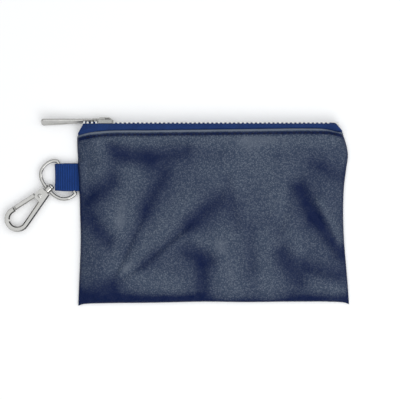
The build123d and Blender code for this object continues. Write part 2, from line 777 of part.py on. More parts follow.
with BuildPart() as gate:
    with BuildSketch(HOOK.offset(-GATE_HALF)):
        with BuildLine():
            Polyline(
                gate_side(8.6, 0.0),
                gate_side(24.3 - GATE_CLEAR, 0.0),
                gate_side(25.35 - GATE_CLEAR, GATE_WIDTH),
                gate_side(9.6, GATE_WIDTH),
                close=True,
            )
        make_face()
    extrude(amount=2 * GATE_HALF)
    arm_edges = [
        e
        for e in gate.edges()
        if abs(abs(e.center().Z - TAB_Z) - GATE_HALF) < 0.01
    ]
    chamfer(arm_edges, length=0.6)
    with BuildSketch(HOOK.offset(-GATE_HALF - 1)):
        with Locations((RIVET_T, RIVET_S)):
            Circle(LUG_R + GATE_CLEAR)
    extrude(amount=2 * GATE_HALF + 2, mode=Mode.SUBTRACT)
    # tongue that reaches into the head
    with BuildSketch(HOOK.offset(-1.2)):
        with Locations((RIVET_T, RIVET_S)):
            Circle(2.1)
        with BuildLine():
            Polyline(
                (RIVET_T + 0.3, RIVET_S - 1.9),
                (RIVET_T + 3.4, RIVET_S - 3.4),
                (RIVET_T + 5.0, RIVET_S - 2.6),
                (RIVET_T + 1.6, RIVET_S + 0.9),
                close=True,
            )
        make_face()
    extrude(amount=1.3)
    with BuildSketch(HOOK.offset(-3)):
        with Locations((RIVET_T, RIVET_S)):
            Circle(RIVET_R + FIT_RUNNING)
    extrude(amount=6, mode=Mode.SUBTRACT)
gate.part.label = "gate"
export_step(gate.part, "parts/gate.step")

# ---------------------------------------------------------------- gate rivet
RIVET_AT = HOOK.from_local_coords(Vector(RIVET_T, RIVET_S, 0))
RIVET = Plane(origin=RIVET_AT, x_dir=(1, 0, 0), z_dir=(0, -1, 0))
with BuildPart() as gate_rivet:
    with BuildSketch(RIVET):
        with BuildLine():
            Polyline(
                (0, -HOOK_HALF - 0.45),
                (0.8, -HOOK_HALF - 0.35),
                (RIVET_HEAD_R, -HOOK_HALF),
                (RIVET_R, -HOOK_HALF),
                (RIVET_R, HOOK_HALF),
                (RIVET_HEAD_R, HOOK_HALF),
                (0.8, HOOK_HALF + 0.35),
                (0, HOOK_HALF + 0.45),
                close=True,
            )
        make_face()
    revolve(axis=Axis(RIVET.origin, (0, 0, 1)))
gate_rivet.part.label = "gate_rivet"
export_step(gate_rivet.part, "parts/gate_rivet.step")

# ---------------------------------------------------------------- gate spring
COIL_R = 1.5
COIL_WIRE_R = 0.2
COIL_PITCH = 0.48
COIL_TURNS = 1.2
coil_base = HOOK.from_local_coords(Vector(RIVET_T, RIVET_S, 0.42))
with BuildPart() as gate_spring:
    with BuildLine(Plane(origin=coil_base, x_dir=(1, 0, 0), z_dir=(0, 0, 1))) as coil:
        Helix(pitch=COIL_PITCH, height=COIL_PITCH * COIL_TURNS, radius=COIL_R)
    with BuildSketch(Plane(origin=coil.line @ 0, z_dir=coil.line % 0)):
        Circle(COIL_WIRE_R)
    sweep(path=coil.line, is_frenet=True)
gate_spring.part.label = "gate_spring"
export_step(gate_spring.part, "parts/gate_spring.step")
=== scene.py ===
"""Looks for the cash deposit bag: a flat zipped pouch of coated sheet with a webbing tab and a swivel clasp.

Lengths inside the shape functions are millimetres in the bag's own frame: X along the zip, Y towards the zip,
Z up from the table. They become metres when a mesh is made.
"""

import math

import bpy
import numpy as np
from bpy.props import FloatProperty, FloatVectorProperty, IntProperty, PointerProperty
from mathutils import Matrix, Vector


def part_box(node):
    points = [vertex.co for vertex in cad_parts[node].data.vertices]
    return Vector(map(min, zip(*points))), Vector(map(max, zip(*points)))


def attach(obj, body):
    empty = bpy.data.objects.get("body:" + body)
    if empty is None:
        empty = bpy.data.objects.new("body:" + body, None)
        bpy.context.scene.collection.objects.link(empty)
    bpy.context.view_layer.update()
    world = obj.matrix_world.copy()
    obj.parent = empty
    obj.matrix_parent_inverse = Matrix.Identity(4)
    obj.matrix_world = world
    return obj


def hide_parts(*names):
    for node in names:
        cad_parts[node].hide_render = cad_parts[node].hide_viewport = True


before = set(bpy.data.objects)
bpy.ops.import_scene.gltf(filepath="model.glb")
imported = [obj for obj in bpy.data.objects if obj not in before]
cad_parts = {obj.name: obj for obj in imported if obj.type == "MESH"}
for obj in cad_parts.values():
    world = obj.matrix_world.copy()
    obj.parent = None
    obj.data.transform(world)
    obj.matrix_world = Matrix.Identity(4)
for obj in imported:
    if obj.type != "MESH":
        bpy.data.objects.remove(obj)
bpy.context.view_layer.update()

bl_info = {
    "name": "Cash deposit bag",
    "version": (1, 0, 0),
    "blender": (4, 5, 0),
    "location": "3D View > Sidebar > Deposit bag",
    "description": "Builds the soft pieces, finishes and stage of a zipped cash deposit bag",
    "category": "Object",
}

MM = 0.001

# ---------------------------------------------------------------- sizes of the pouch, in millimetres
# plan of the closed pouch: (y, x) down its two sides, and (x, y) along its bottom seam and hemmed lip
LEFT_SIDE = [
    (-62, -90.4), (-50, -90.0), (-34, -89.3), (-18, -88.8), (4, -89.3), (20, -89.7), (37, -90.6),
    (48, -91.1), (58, -90.8),
]
RIGHT_SIDE = [
    (-62, 90.0), (-50, 89.3), (-34, 88.0), (-18, 86.7), (4, 86.1), (20, 86.8), (30, 88.1), (40, 89.2),
    (46, 88.2), (51, 86.6), (58, 84.0),
]
BOTTOM_SEAM = [
    (-92, -59.9), (-70, -59.4), (-40, -59.1), (-14, -58.5), (-8, -58.4), (20, -58.7), (50, -58.4),
    (75, -58.4), (92, -58.8),
]
LIP_LINE = [
    (-92, 50.6), (-88, 52.0), (-82, 53.2), (-74, 54.0), (-40, 54.6), (0, 55.1), (40, 55.6), (65, 55.8),
    (78, 55.4), (86, 53.6),
]
STITCH_IN = 2.1             # from the lip line to the topstitching
SEAM_LEVEL = 1.3            # height of the sewn edge above the table
LIP_TOP = 10.2              # height of the front sheet just inside the lip
BODY_TOP = 8.4              # and over the middle of the pouch

# slack folds of the front sheet: start x, y, end x, y, half width, depth, painted shade (darkening of the
# sheet's colour along the crease)
FOLDS = [
    (-69, 45.0, -60, 38.5, 4.2, 0.9, 0.75),
    (-60, 38.5, -43, 36.5, 5.0, 1.2, 0.85),
    (-43, 36.5, -18, 41.0, 5.0, 1.1, 0.72),
    (-18, 41.0, 2, 38.0, 4.5, 0.5, 0.2),
    (-67, 22.0, -85, 8.0, 6.0, 1.4, 0.85),
    (-84, -3.0, -70, -18.0, 5.0, 1.3, 0.8),
    (-34, 26.0, -45, 2.0, 5.0, 1.3, 0.75),
    (-45, 2.0, -68, -47.0, 2.6, 1.1, 0.5),
    (4, 10.0, -15, -7.0, 5.5, 1.4, 0.75),
    (-15, -7.0, -47, -34.0, 3.0, 1.5, 0.65),
    (-47, -34.0, -69, -49.0, 2.2, 1.0, 0.45),
    (-18, -25.0, -3, -32.0, 4.6, 1.2, 0.7),
    (-8, -33.0, -7, -51.0, 4.2, 1.2, 0.8),
    (-10, -54.0, -11, -58.5, 1.8, 1.4, 0.8),
    (56, 17.0, 67, -2.0, 5.2, 1.9, 0.95),
    (67, -2.0, 85, -28.0, 4.2, 1.9, 0.9),
    (45, -27.0, 57, -46.0, 5.0, 1.2, 0.75),
    (61, -35.0, 83, -41.0, 4.4, 1.1, 0.7),
    (67, 33.0, 84, 26.0, 4.6, 1.1, 0.6),
    (-90, -55.0, -68, -50.0, 6.0, 0.9, 0.8),
    (-68, -55.5, -14, -56.5, 2.8, 0.5, 0.7),
    (52, -55.0, 90, -56.0, 2.2, 0.3, 0.5),
    (9, 23.0, 15, -9.0, 3.6, 0.6, 0.35),
    (24, -10.0, 25, -36.0, 3.8, 0.7, 0.35),
    (52, 16.0, 45, -10.0, 4.0, 0.6, 0.3),
    (-84, 46.0, -80, 34.0, 3.5, 0.5, 0.3),
]

# ridges between the folds, painted paler as sheen where the light catches them: start x, y, end x, y, half
# width, height, painted sheen (paling)
RIDGES = [
    (-80, 43.0, -77, 27.0, 7.0, 0.3, 0.50),
    (-72, 49.5, 78, 50.0, 5.0, 0.0, 0.50),
    (-56, 28.0, -63, -2.0, 7.0, 0.5, 0.55),
    (-62, -6.0, -66, -34.0, 6.0, 0.3, 0.30),
    (-16, 10.0, -58, -36.0, 5.5, 0.8, 0.50),
    (-22, -14.0, -34, -24.0, 4.0, 0.5, 0.30),
    (0, 33.0, 14, 20.0, 8.0, 0.3, 0.35),
    (26, 38.0, 46, 16.0, 10.0, 0.4, 0.40),
    (42, 6.0, 56, -22.0, 5.0, 0.5, 0.30),
    (70, 8.0, 84, -18.0, 2.8, 0.9, 0.70),
    (7, -16.0, 12, -51.0, 7.0, 0.5, 0.45),
    (33, -18.0, 36, -52.0, 5.5, 0.4, 0.35),
    (-60, -41.0, -26, -48.0, 6.5, 0.4, 0.45),
    (62, -46.0, 80, -50.0, 4.5, 0.4, 0.35),
    (-12, -14.0, 2, -22.0, 4.0, 0.5, 0.30),
]

# zip chain: a tilted plane whose middle is at this y and z
CHAIN_Y = 59.0
CHAIN_Z = 4.9
CHAIN_COS = math.cos(math.radians(25.0))
CHAIN_SIN = math.sin(math.radians(25.0))
TAPE_LEVEL = -0.75          # of the tapes, through the chain's thickness
BEAD_LEVEL = 0.75           # of their corded edges

# webbing loop, side view (x, z) of its centre line from one sewn end to the other
TAB_LOWER_END = (-82.0, 1.75)
TAB_UPPER_END = (-82.0, 2.85)
TAB_SEAM_X = -90.3
TAB_FOLD_X = -103.6
TAB_MIDDLE_Z = 2.7
TAB_FOLD_R = 1.9
TAB_MIDDLE_Y = 24.4
TAB_STITCH_X = -83.6

# stage, in metres: the camera looks straight down, and each lamp is (name, place, width, height, watts)
CAMERA_AT = (-0.0093, 0.0093, 1.2)
CAMERA_LENS = 162.0
CAMERA_SENSOR = 36.0
TABLE_REACH = 2500.0        # millimetres from the middle to each side
TABLE_LEVEL = -0.02         # millimetres
LAMPS = (
    ("key_light", (0.45, -0.75, 0.85), 0.8, 0.7, 3.0),
    ("side_light", (0.9, 0.15, 0.45), 0.3, 0.8, 1.2),
)
# strength of the studio by the height of a direction: from, to, strength at the first, strength at the second
STUDIO_BANDS = ((0.28, 0.72, 0.02, 1.20), (0.0, 0.03, 0.95, 0.0))


class BagSizes(bpy.types.PropertyGroup):
    """Sizes a maker of the bag would change."""

    sheet_thickness: FloatProperty(
        name="Sheet thickness", description="Thickness of the coated sheet",
        default=0.0009, min=0.0004, max=0.002, unit="LENGTH",
    )
    hem_radius: FloatProperty(
        name="Hem radius", description="Radius of the rolled hem beside the zip",
        default=0.0008, min=0.0004, max=0.0015, unit="LENGTH",
    )
    tape_thickness: FloatProperty(
        name="Tape thickness", description="Thickness of the zip tape",
        default=0.0005, min=0.0003, max=0.001, unit="LENGTH",
    )
    stitch_pitch: FloatProperty(
        name="Stitch pitch", description="Distance from one topstitch to the next",
        default=0.0039, min=0.002, max=0.006, unit="LENGTH",
    )
    stitch_length: FloatProperty(
        name="Stitch length", description="Visible length of one topstitch",
        default=0.0029, min=0.001, max=0.005, unit="LENGTH",
    )
    webbing_width: FloatProperty(
        name="Webbing width", description="Width of the tab's webbing",
        default=0.0186, min=0.01, max=0.03, unit="LENGTH",
    )
    webbing_thickness: FloatProperty(
        name="Webbing thickness", description="Thickness of one layer of webbing",
        default=0.001, min=0.0006, max=0.002, unit="LENGTH",
    )
    rib_pitch: FloatProperty(
        name="Rib pitch", description="Distance from one rib of the webbing to the next",
        default=0.00115, min=0.0006, max=0.003, unit="LENGTH",
    )
    fold_strength: FloatProperty(
        name="Fold strength", description="Share of the folds' full depth",
        default=1.0, min=0.0, max=2.0, subtype="FACTOR",
    )
    columns: IntProperty(
        name="Columns", description="Grid columns across the front sheet",
        default=300, min=60, max=320,
    )
    rows: IntProperty(
        name="Rows", description="Grid rows up the front sheet",
        default=150, min=40, max=200,
    )


class BagColours(bpy.types.PropertyGroup):
    """Colours of the bag's materials, as linear values."""

    # painted sheen: the sheet's colour as lit on its raised parts
    sheet_with_painted_sheen: FloatVectorProperty(
        name="Sheet, raised", description="Coated sheet where it is rubbed and raised",
        subtype="COLOR", default=(0.038, 0.055, 0.094), min=0, max=1,
    )
    # painted highlight: glints on the grain's crowns, and the sheen on the ridges and the rolled hem
    sheet_painted_highlight: FloatVectorProperty(
        name="Sheet, specks", description="Rubbed crowns of the sheet's grain",
        subtype="COLOR", default=(0.145, 0.170, 0.215), min=0, max=1,
    )
    # painted shade: the sheet's colour as shaded in its creases
    sheet_with_painted_shade: FloatVectorProperty(
        name="Sheet, folded", description="Coated sheet down in its folds",
        subtype="COLOR", default=(0.0004, 0.0070, 0.046), min=0, max=1,
    )
    tape: FloatVectorProperty(
        name="Zip tape", description="Woven tape beside the teeth",
        subtype="COLOR", default=(0.010, 0.030, 0.120), min=0, max=1,
    )
    webbing: FloatVectorProperty(
        name="Webbing", description="Ribbed webbing of the tab",
        subtype="COLOR", default=(0.012, 0.055, 0.250), min=0, max=1,
    )
    thread: FloatVectorProperty(
        name="Thread", description="Sewing thread",
        subtype="COLOR", default=(0.002, 0.004, 0.014), min=0, max=1,
    )
    nickel: FloatVectorProperty(
        name="Nickel", description="Nickel plating of the clasp and slider",
        subtype="COLOR", default=(0.515, 0.508, 0.488), min=0, max=1,
    )
    teeth: FloatVectorProperty(
        name="Teeth", description="Bright metal of the zip teeth",
        subtype="COLOR", default=(0.95, 0.95, 0.94), min=0, max=1,
    )
    floor: FloatVectorProperty(
        name="Floor", description="Pale table top",
        subtype="COLOR", default=(0.93, 0.93, 0.93), min=0, max=1,
    )


# ---------------------------------------------------------------- shape helpers
def through(points, at):
    """A smooth line through set points: between two of them, the cubic with their values and mean slopes."""
    table = np.array(points, float)
    xs, ys = table[:, 0], table[:, 1]
    slopes = np.gradient(ys, xs)
    at = np.clip(np.asarray(at, float), xs[0], xs[-1])
    i = np.clip(np.searchsorted(xs, at) - 1, 0, len(xs) - 2)
    gap = xs[i + 1] - xs[i]
    t = (at - xs[i]) / gap
    return (
        ys[i] * (1 + 2 * t) * (1 - t) ** 2
        + slopes[i] * gap * t * (1 - t) ** 2
        + ys[i + 1] * t * t * (3 - 2 * t)
        + slopes[i + 1] * gap * t * t * (t - 1)
    )


def smooth(t):
    """0 below 0, 1 above 1, and three t squared less two t cubed between."""
    t = np.clip(t, 0, 1)
    return t * t * (3 - 2 * t)


def bell(t):
    """A bell curve: e to the power of minus t squared."""
    return np.exp(-t * t)


def bottom_line(x):
    """The bottom seam's y, with a small point pulled out at each corner."""
    left = np.exp(-np.abs(x + 90.2) / 2.0)
    right = np.exp(-np.abs(x - 89.8) / 2.0)
    return through(BOTTOM_SEAM, x) - 1.2 * left - 1.5 * right


def lip_line(x):
    """The y of the hemmed lip."""
    return through(LIP_LINE, x)


def tab_lift(y, d):
    """How far the front sheet's sewn edge is held up by the webbing inside it: 2.5 mm between the webbing's
    edges, falling away over 3 mm past them and over 7 mm inwards."""
    return 2.5 * smooth((y - 11.8) / 3.0) * smooth((37.0 - y) / 3.0) * (1 - smooth(d / 7.0))


def edge_rise(d, reach):
    """How far the sheet has risen at a distance d in from a sewn edge, from 0 to 1: a short quarter round of
    2 mm, then an easing slope as long as reach."""
    turn = np.sqrt(np.clip(1 - (1 - np.clip(d / 2.0, 0, 1)) ** 2, 0, 1))
    slope = 1 - (1 - np.clip(d / reach, 0, 1)) ** 2.2
    return 0.2 * turn + 0.8 * slope


def rumple(x, y, waves, shortest, longest, seed):
    """Slack in a sheet: a sum of plane sine waves of seeded direction, length and phase, each as high as its
    share of the longest length, scaled to about one."""
    rng = np.random.default_rng(seed)
    turn = rng.uniform(0, math.pi, waves)
    length = rng.uniform(shortest, longest, waves)
    phase = rng.uniform(0, math.tau, waves)
    along = x[..., None] * np.cos(turn) + y[..., None] * np.sin(turn)
    return (np.sin(math.tau * along / length + phase) * length / longest).sum(-1) / math.sqrt(waves)


def across(x, y, segment, half):
    """Distance of points from a straight segment, in half widths."""
    x0, y0, x1, y1 = segment
    t = np.clip(((x - x0) * (x1 - x0) + (y - y0) * (y1 - y0)) / ((x1 - x0) ** 2 + (y1 - y0) ** 2), 0, 1)
    return np.hypot(x - x0 - t * (x1 - x0), y - y0 - t * (y1 - y0)) / half


def folds(x, y, shift):
    """Depth and painted shade of the slack folds. Each is a bell across a straight segment that fades past its
    ends, and the ridges between them are bells that rise and are painted paler as sheen. The depth is taken
    shift half widths up and left of the painted shade, so that the painted shade falls on the bank of each
    crease that faces away from the light."""
    depth = np.zeros(np.shape(x))
    # painted shading: 0.28 everywhere to start, raised by painted shade along each crease
    painted_shading = np.full(np.shape(x), 0.28)
    for *segment, half, deep, painted_shading_and_tone in FOLDS:
        moved = across(x + 0.5 * shift * half, y - 0.86 * shift * half, segment, half)
        depth = np.maximum(depth, deep * bell(moved))
        painted_shading = painted_shading + (1 - painted_shading) * painted_shading_and_tone * bell(across(x, y, segment, 1.35 * half))
    # painted sheen: each ridge lowers the painted shading
    for *segment, half, high, painted_shading_and_tone in RIDGES:
        near = bell(across(x, y, segment, 1.2 * half))
        depth = depth - 0.8 * high * near
        painted_shading = painted_shading - painted_shading_and_tone * near * (1 - 0.6 * np.clip(painted_shading, 0, 1))
    return depth, painted_shading


def front_level(x, y, sizes):
    """Height of the front sheet's outer face. It rises from its three sewn edges, stands highest just inside
    the lip and sinks along the topstitching. The slack folds are taken from it, and a fine rumple and the small
    gathers beside the seams are added."""
    left = x - through(LEFT_SIDE, y)
    right = through(RIGHT_SIDE, y) - x
    low = y - bottom_line(x)
    inside = lip_line(x) - y
    side = edge_rise(np.minimum(left, right), 19.0)
    base = edge_rise(low, 20.0)
    top = BODY_TOP + (LIP_TOP - BODY_TOP) * (1 - smooth(inside / 22.0))
    level = SEAM_LEVEL + (top - SEAM_LEVEL) * side * base
    level = level + tab_lift(y, left) * (x < 0)
    near_edge = smooth(np.minimum(np.minimum(left, right), low) / 9.0)
    near_seam = smooth(np.minimum(np.minimum(left, right), low) / 2.5)
    depth, _ = folds(x, y, 0.55)
    share = (0.25 + 0.75 * near_edge) * near_seam * smooth((inside - 3) / 5)
    level = level - 1.25 * sizes.fold_strength * depth * share
    level = level + 0.34 * rumple(x, y, 14, 11, 34, 5) * near_edge * smooth((inside - 3) / 6)
    waves = np.sin(math.tau * (y + 0.1 * x) / 5.3 + 2 * np.sin(y / 9))
    gathers = bell((np.minimum(left, right) - 3.2) / 2.6) * waves
    level = level + 0.13 * gathers * near_seam
    low_gathers = bell((low - 3.5) / 2.8) * np.sin(math.tau * x / 8.7 + 2.2 * np.sin(x / 13))
    level = level + 0.16 * low_gathers * near_seam
    pitch = sizes.stitch_pitch / MM
    pull = 0.75 + 0.25 * np.cos(math.tau * (x + 72.0) / pitch)
    ends = smooth((x + 88) / 8) * smooth((84 - x) / 6)
    level = level - 0.85 * pull * bell((inside - STITCH_IN) / 0.8) * ends
    level = level + 0.42 * bell((inside - 5.2) / 2.2) * ends
    return level


def spread(count, crowd):
    """Steps from 0 to 1 that crowd towards both ends by the share given."""
    t = np.linspace(0, 1, count)
    return (1 - crowd) * t + crowd * (1 - np.cos(math.pi * t)) / 2


def plan_grid(columns, rows, top_gap):
    """Plan points of a sheet: rows step from the bottom seam to top_gap short of the lip, and columns step from
    the left side to the right side at each row's own y."""
    u, v = np.meshgrid(spread(columns, 0.35), spread(rows, 0.35), indexing="ij")
    guide = -90.6 + 180.4 * u
    low = bottom_line(guide)
    y = low + v * (lip_line(guide) - top_gap - low)
    left = through(LEFT_SIDE, y)
    x = left + u * (through(RIGHT_SIDE, y) - left)
    return x, y


# ---------------------------------------------------------------- mesh helpers
def mesh_object(name, verts, faces, uv=None, values=None):
    """A smooth mesh object from millimetre points and faces, with a UV map in metres and point attributes."""
    mesh = bpy.data.meshes.new(name)
    mesh.from_pydata((np.asarray(verts, float) * MM).tolist(), [], faces)
    mesh.validate()
    mesh.polygons.foreach_set("use_smooth", np.ones(len(mesh.polygons), bool))
    if uv is not None:
        corner = np.empty(len(mesh.loops), np.int32)
        mesh.loops.foreach_get("vertex_index", corner)
        layer = mesh.uv_layers.new(name="Lay")
        layer.data.foreach_set("uv", (np.asarray(uv, float)[corner] * MM).astype(np.float32).ravel())
    for key, value in (values or {}).items():
        layer = mesh.attributes.new(key, "FLOAT", "POINT")
        layer.data.foreach_set("value", np.asarray(value, np.float32).ravel())
    mesh.update()
    piece = bpy.data.objects.new(name, mesh)
    bpy.context.scene.collection.objects.link(piece)
    return piece


def skin(name, outer, inner, uv, values=None):
    """A closed skin from two grids of one size: the outer grid's faces, the inner grid's turned round, and a
    band of faces that joins the two along their borders."""
    nu, nv = outer.shape[:2]
    index = np.arange(nu * nv).reshape(nu, nv)
    quad = np.stack([index[:-1, :-1], index[1:, :-1], index[1:, 1:], index[:-1, 1:]], -1).reshape(-1, 4)
    loop = np.concatenate([index[:-1, 0], index[-1, :-1], index[:0:-1, -1], index[0, :0:-1]])
    ahead = np.roll(loop, -1)
    under = nu * nv
    band = np.stack([loop + under, ahead + under, ahead, loop], -1)
    faces = np.concatenate([quad, quad[:, ::-1] + under, band]).tolist()
    verts = np.concatenate([outer.reshape(-1, 3), inner.reshape(-1, 3)])
    both = {key: np.tile(np.asarray(value).reshape(-1), 2) for key, value in (values or {}).items()}
    return mesh_object(name, verts, faces, np.tile(uv.reshape(-1, 2), (2, 1)), both)


def threads(name, centres, along, up, length, width, height):
    """Sewing stitches: each is a rounded dash, a ring carried along its length whose radius is the fourth root
    of one less the fourth power of the distance from its middle, with two plies wound round it."""
    rings, sides = 7, 8
    a = np.linspace(-1, 1, rings)[:, None]
    turn = (np.arange(sides) / sides * math.tau)[None, :]
    size = np.sqrt(np.clip(1 - 0.985 * a**4, 0, 1)) * (1 + 0.1 * np.cos(2 * (turn - 2.2 * a)))
    beside_it = np.cross(up, along)
    ring = (
        (a * length / 2 * np.ones_like(turn))[None, ..., None] * along[:, None, None, :]
        + (size * np.cos(turn) * width / 2)[None, ..., None] * beside_it[:, None, None, :]
        + (size * np.sin(turn) * height / 2)[None, ..., None] * up[:, None, None, :]
    )
    verts = (centres[:, None, None, :] + ring).reshape(-1, 3)
    index = np.arange(rings * sides).reshape(rings, sides)
    beside = np.roll(index, -1, 1)
    quad = np.stack([index[:-1], beside[:-1], beside[1:], index[1:]], -1).reshape(-1, 4)
    step = (np.arange(len(centres)) * rings * sides)[:, None, None]
    faces = (quad[None] + step).reshape(-1, 4).tolist()
    faces += (index[0, ::-1][None] + step[:, 0]).tolist() + (index[-1][None] + step[:, 0]).tolist()
    return mesh_object(name, verts, faces, verts[:, :2])


def settle(piece, slot, material, *stands_for):
    """Gives a piece its material, hides the nodes it stands for, and lets it ride on the pouch. The slot
    argument is not used.
    """
    piece.data.materials.append(material)
    if stands_for:
        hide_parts(*stands_for)
    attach(piece, "pouch")
    return piece


# ---------------------------------------------------------------- materials
class Recipe:
    """Adds nodes to a new material and links them, so that a finish reads as a short list of steps."""

    def __init__(self, name):
        self.material = bpy.data.materials.new(name)
        self.material.use_nodes = True
        self.tree = self.material.node_tree
        self.shader = self.tree.nodes["Principled BSDF"]
        self.place = self.tree.nodes.new("ShaderNodeTexCoord")

    def add(self, kind, inputs=(), **settings):
        node = self.tree.nodes.new(kind)
        for key, value in settings.items():
            setattr(node, key, value)
        for key, value in dict(inputs).items():
            self.put(node.inputs[key], value)
        return node

    def put(self, socket, value):
        if isinstance(value, bpy.types.NodeSocket):
            self.tree.links.new(value, socket)
        else:
            socket.default_value = value

    def noise(self, scale, detail=3.0, roughness=0.55, vector=None):
        vector = vector or self.place.outputs["Object"]
        inputs = {"Vector": vector, "Scale": scale, "Detail": detail, "Roughness": roughness}
        return self.add("ShaderNodeTexNoise", inputs).outputs["Fac"]

    def ramp(self, value, low, high, start=0.0, end=1.0):
        inputs = {"Value": value, "From Min": low, "From Max": high, "To Min": start, "To Max": end}
        return self.add("ShaderNodeMapRange", inputs).outputs["Result"]

    def math(self, operation, a, b=0.0):
        return self.add("ShaderNodeMath", {0: a, 1: b}, operation=operation).outputs[0]

    def blend(self, factor, a, b, mode="MIX"):
        node = self.add("ShaderNodeMix", data_type="RGBA", blend_type=mode)
        self.put(node.inputs[0], factor)
        self.put(node.inputs[6], a)
        self.put(node.inputs[7], b)
        return node.outputs[2]

    def bump(self, height, distance, strength=1.0, below=None):
        inputs = {"Height": height, "Distance": distance, "Strength": strength}
        if below is not None:
            inputs["Normal"] = below
        return self.add("ShaderNodeBump", inputs).outputs["Normal"]

    def set(self, **values):
        for key, value in values.items():
            self.put(self.shader.inputs[key.replace("_", " ")], value)
        return self.material


def rgb(colour, share=1.0):
    """A colour property as a node colour, each part times share."""
    return (colour[0] * share, colour[1] * share, colour[2] * share, 1.0)


def coated_sheet(colours):
    """Soft coated sheet: a pebbled grain about a millimetre across with finer wrinkles between the pebbles,
    with a painted sheen and drier where it is raised, painted shade and smoother in the folds, and painted
    glints on the grain's crowns."""
    made = Recipe("coated sheet")
    grid = made.place.outputs["Object"]
    wobble = made.add("ShaderNodeVectorMath", {0: grid}, operation="MULTIPLY_ADD")
    warp = made.add("ShaderNodeTexNoise", {"Vector": grid, "Scale": 420.0, "Detail": 2.0})
    made.put(wobble.inputs[0], warp.outputs["Color"])
    wobble.inputs[1].default_value = (0.0009, 0.0009, 0.0009)
    made.put(wobble.inputs[2], grid)
    pebble = made.add("ShaderNodeTexVoronoi", {"Vector": wobble.outputs[0], "Scale": 1050.0}, feature="F1")
    cells = pebble.outputs["Distance"]
    each = made.add("ShaderNodeSeparateColor", {0: pebble.outputs["Color"]}).outputs[0]
    fine = made.noise(1900.0, 3.0, 0.6)
    cloud = made.noise(70.0, 4.0, 0.6)
    # painted shading from the sheet's point attribute: painted shade in the creases, painted sheen where it is
    # negative
    painted_shading_map = made.add("ShaderNodeAttribute", attribute_name="painted_shading_map").outputs["Fac"]
    # a random cloud of tone is added to the painted shading
    painted_shading_and_tone = made.math("ADD", painted_shading_map, made.ramp(cloud, 0.3, 0.7, 0.12, -0.12))
    # painted sheen: where the painted shading is lowest, on the ridges and the rolled hem, the colour turns to
    # the painted highlight
    painted_sheen = made.ramp(painted_shading_and_tone, -0.6, -0.1, 1.0, 0.0)
    painted_shading_and_tone = made.ramp(painted_shading_and_tone, 0.0, 1.0)
    # lit and shaded copies of the sheet: painted sheen where raised, painted shade in the creases
    colour = made.blend(painted_shading_and_tone, rgb(colours.sheet_with_painted_sheen), rgb(colours.sheet_with_painted_shade))
    colour = made.blend(painted_sheen, colour, rgb(colours.sheet_painted_highlight, 0.95))
    grain = made.math("ADD", made.ramp(cells, 0.1, 0.75, 0.6, -0.5), made.ramp(fine, 0.3, 0.7, -0.55, 0.55))
    grain = made.math("ADD", grain, made.ramp(each, 0.0, 1.0, -0.28, 0.28))
    # painted glints on the grain's crowns, which fade out where the painted shade is deep
    light = made.ramp(grain, -0.3, 0.95, 0.0, 1.0)
    light = made.math("MULTIPLY", light, made.ramp(painted_shading_and_tone, 0.0, 1.0, 0.95, 0.05))
    colour = made.blend(light, colour, rgb(colours.sheet_painted_highlight))
    rough = made.math("ADD", made.ramp(fine, 0.3, 0.7, 0.40, 0.52), made.ramp(painted_shading_and_tone, 0.0, 1.0, 0.02, -0.06))
    height = made.math("ADD", made.ramp(cells, 0.0, 0.8, 1.0, 0.0), made.math("MULTIPLY", fine, 0.5))
    relief = made.bump(height, 0.00022, 0.7)
    return made.set(Base_Color=colour, Roughness=rough, Normal=relief, Specular_IOR_Level=0.10)


def woven(name, colour, across, along, depth, pale):
    """Woven tape or webbing: two crossing sine waves on the piece's own map, so many threads to the metre, with
    uneven yarns. The yarns' crowns carry a painted highlight, the gaps between them a painted shade, and the
    webbing's rib valleys and edges get more painted shade from its point attribute."""
    made = Recipe(name)
    lay = made.place.outputs["UV"]
    apart = made.add("ShaderNodeSeparateXYZ", {0: lay})
    warp = made.math("SINE", made.math("MULTIPLY", apart.outputs[0], math.tau * along))
    weft = made.math("SINE", made.math("MULTIPLY", apart.outputs[1], math.tau * across))
    cross = made.math("MULTIPLY", warp, weft)
    yarn = made.noise(900.0, 3.0, 0.6)
    crown = made.ramp(made.math("ADD", cross, made.ramp(yarn, 0.3, 0.7, -0.5, 0.5)), -1.2, 1.2)
    # lit and shaded copies of the colour: a painted highlight on the yarns' crowns, pale times the colour, and
    # painted shade in the gaps
    shade = made.blend(crown, rgb(colour, 0.55), rgb(colour, pale))
    cloud = made.noise(160.0, 3.0, 0.6)
    shade = made.blend(made.ramp(cloud, 0.35, 0.65, 0.0, 0.3), shade, rgb(colour, 0.6))
    # more painted shade from the point attribute: the webbing's rib valleys and rounded edges
    gap = made.add("ShaderNodeAttribute", attribute_name="painted_shading_map").outputs["Fac"]
    shade = made.blend(made.ramp(gap, 0.25, 1.0, 0.0, 0.85), shade, rgb(colour, 0.22))
    relief = made.bump(crown, depth, 0.8)
    rough = made.ramp(yarn, 0.3, 0.7, 0.6, 0.78)
    return made.set(
        Base_Color=shade, Roughness=rough, Normal=relief, Sheen_Weight=0.04, Specular_IOR_Level=0.12
    )


def sewing_thread(colours):
    """Twisted sewing thread: slanting plies with a painted highlight on their crowns and painted shade between
    them, and a soft nap.
    """
    made = Recipe("sewing thread")
    inputs = {"Vector": made.place.outputs["Object"], "Scale": 1300.0, "Distortion": 2.5}
    ply = made.add("ShaderNodeTexWave", inputs, bands_direction="DIAGONAL")
    nap = made.noise(3000.0)
    # lit and shaded copies of the thread colour along the plies: painted highlight on their crowns, painted
    # shade between them
    colour = made.blend(ply.outputs["Fac"], rgb(colours.thread, 0.6), rgb(colours.thread, 1.9))
    relief = made.bump(made.math("ADD", ply.outputs["Fac"], nap), 0.00006, 0.7)
    rough = made.ramp(nap, 0.3, 0.7, 0.55, 0.75)
    return made.set(
        Base_Color=colour, Roughness=rough, Normal=relief, Sheen_Weight=0.03, Specular_IOR_Level=0.2
    )


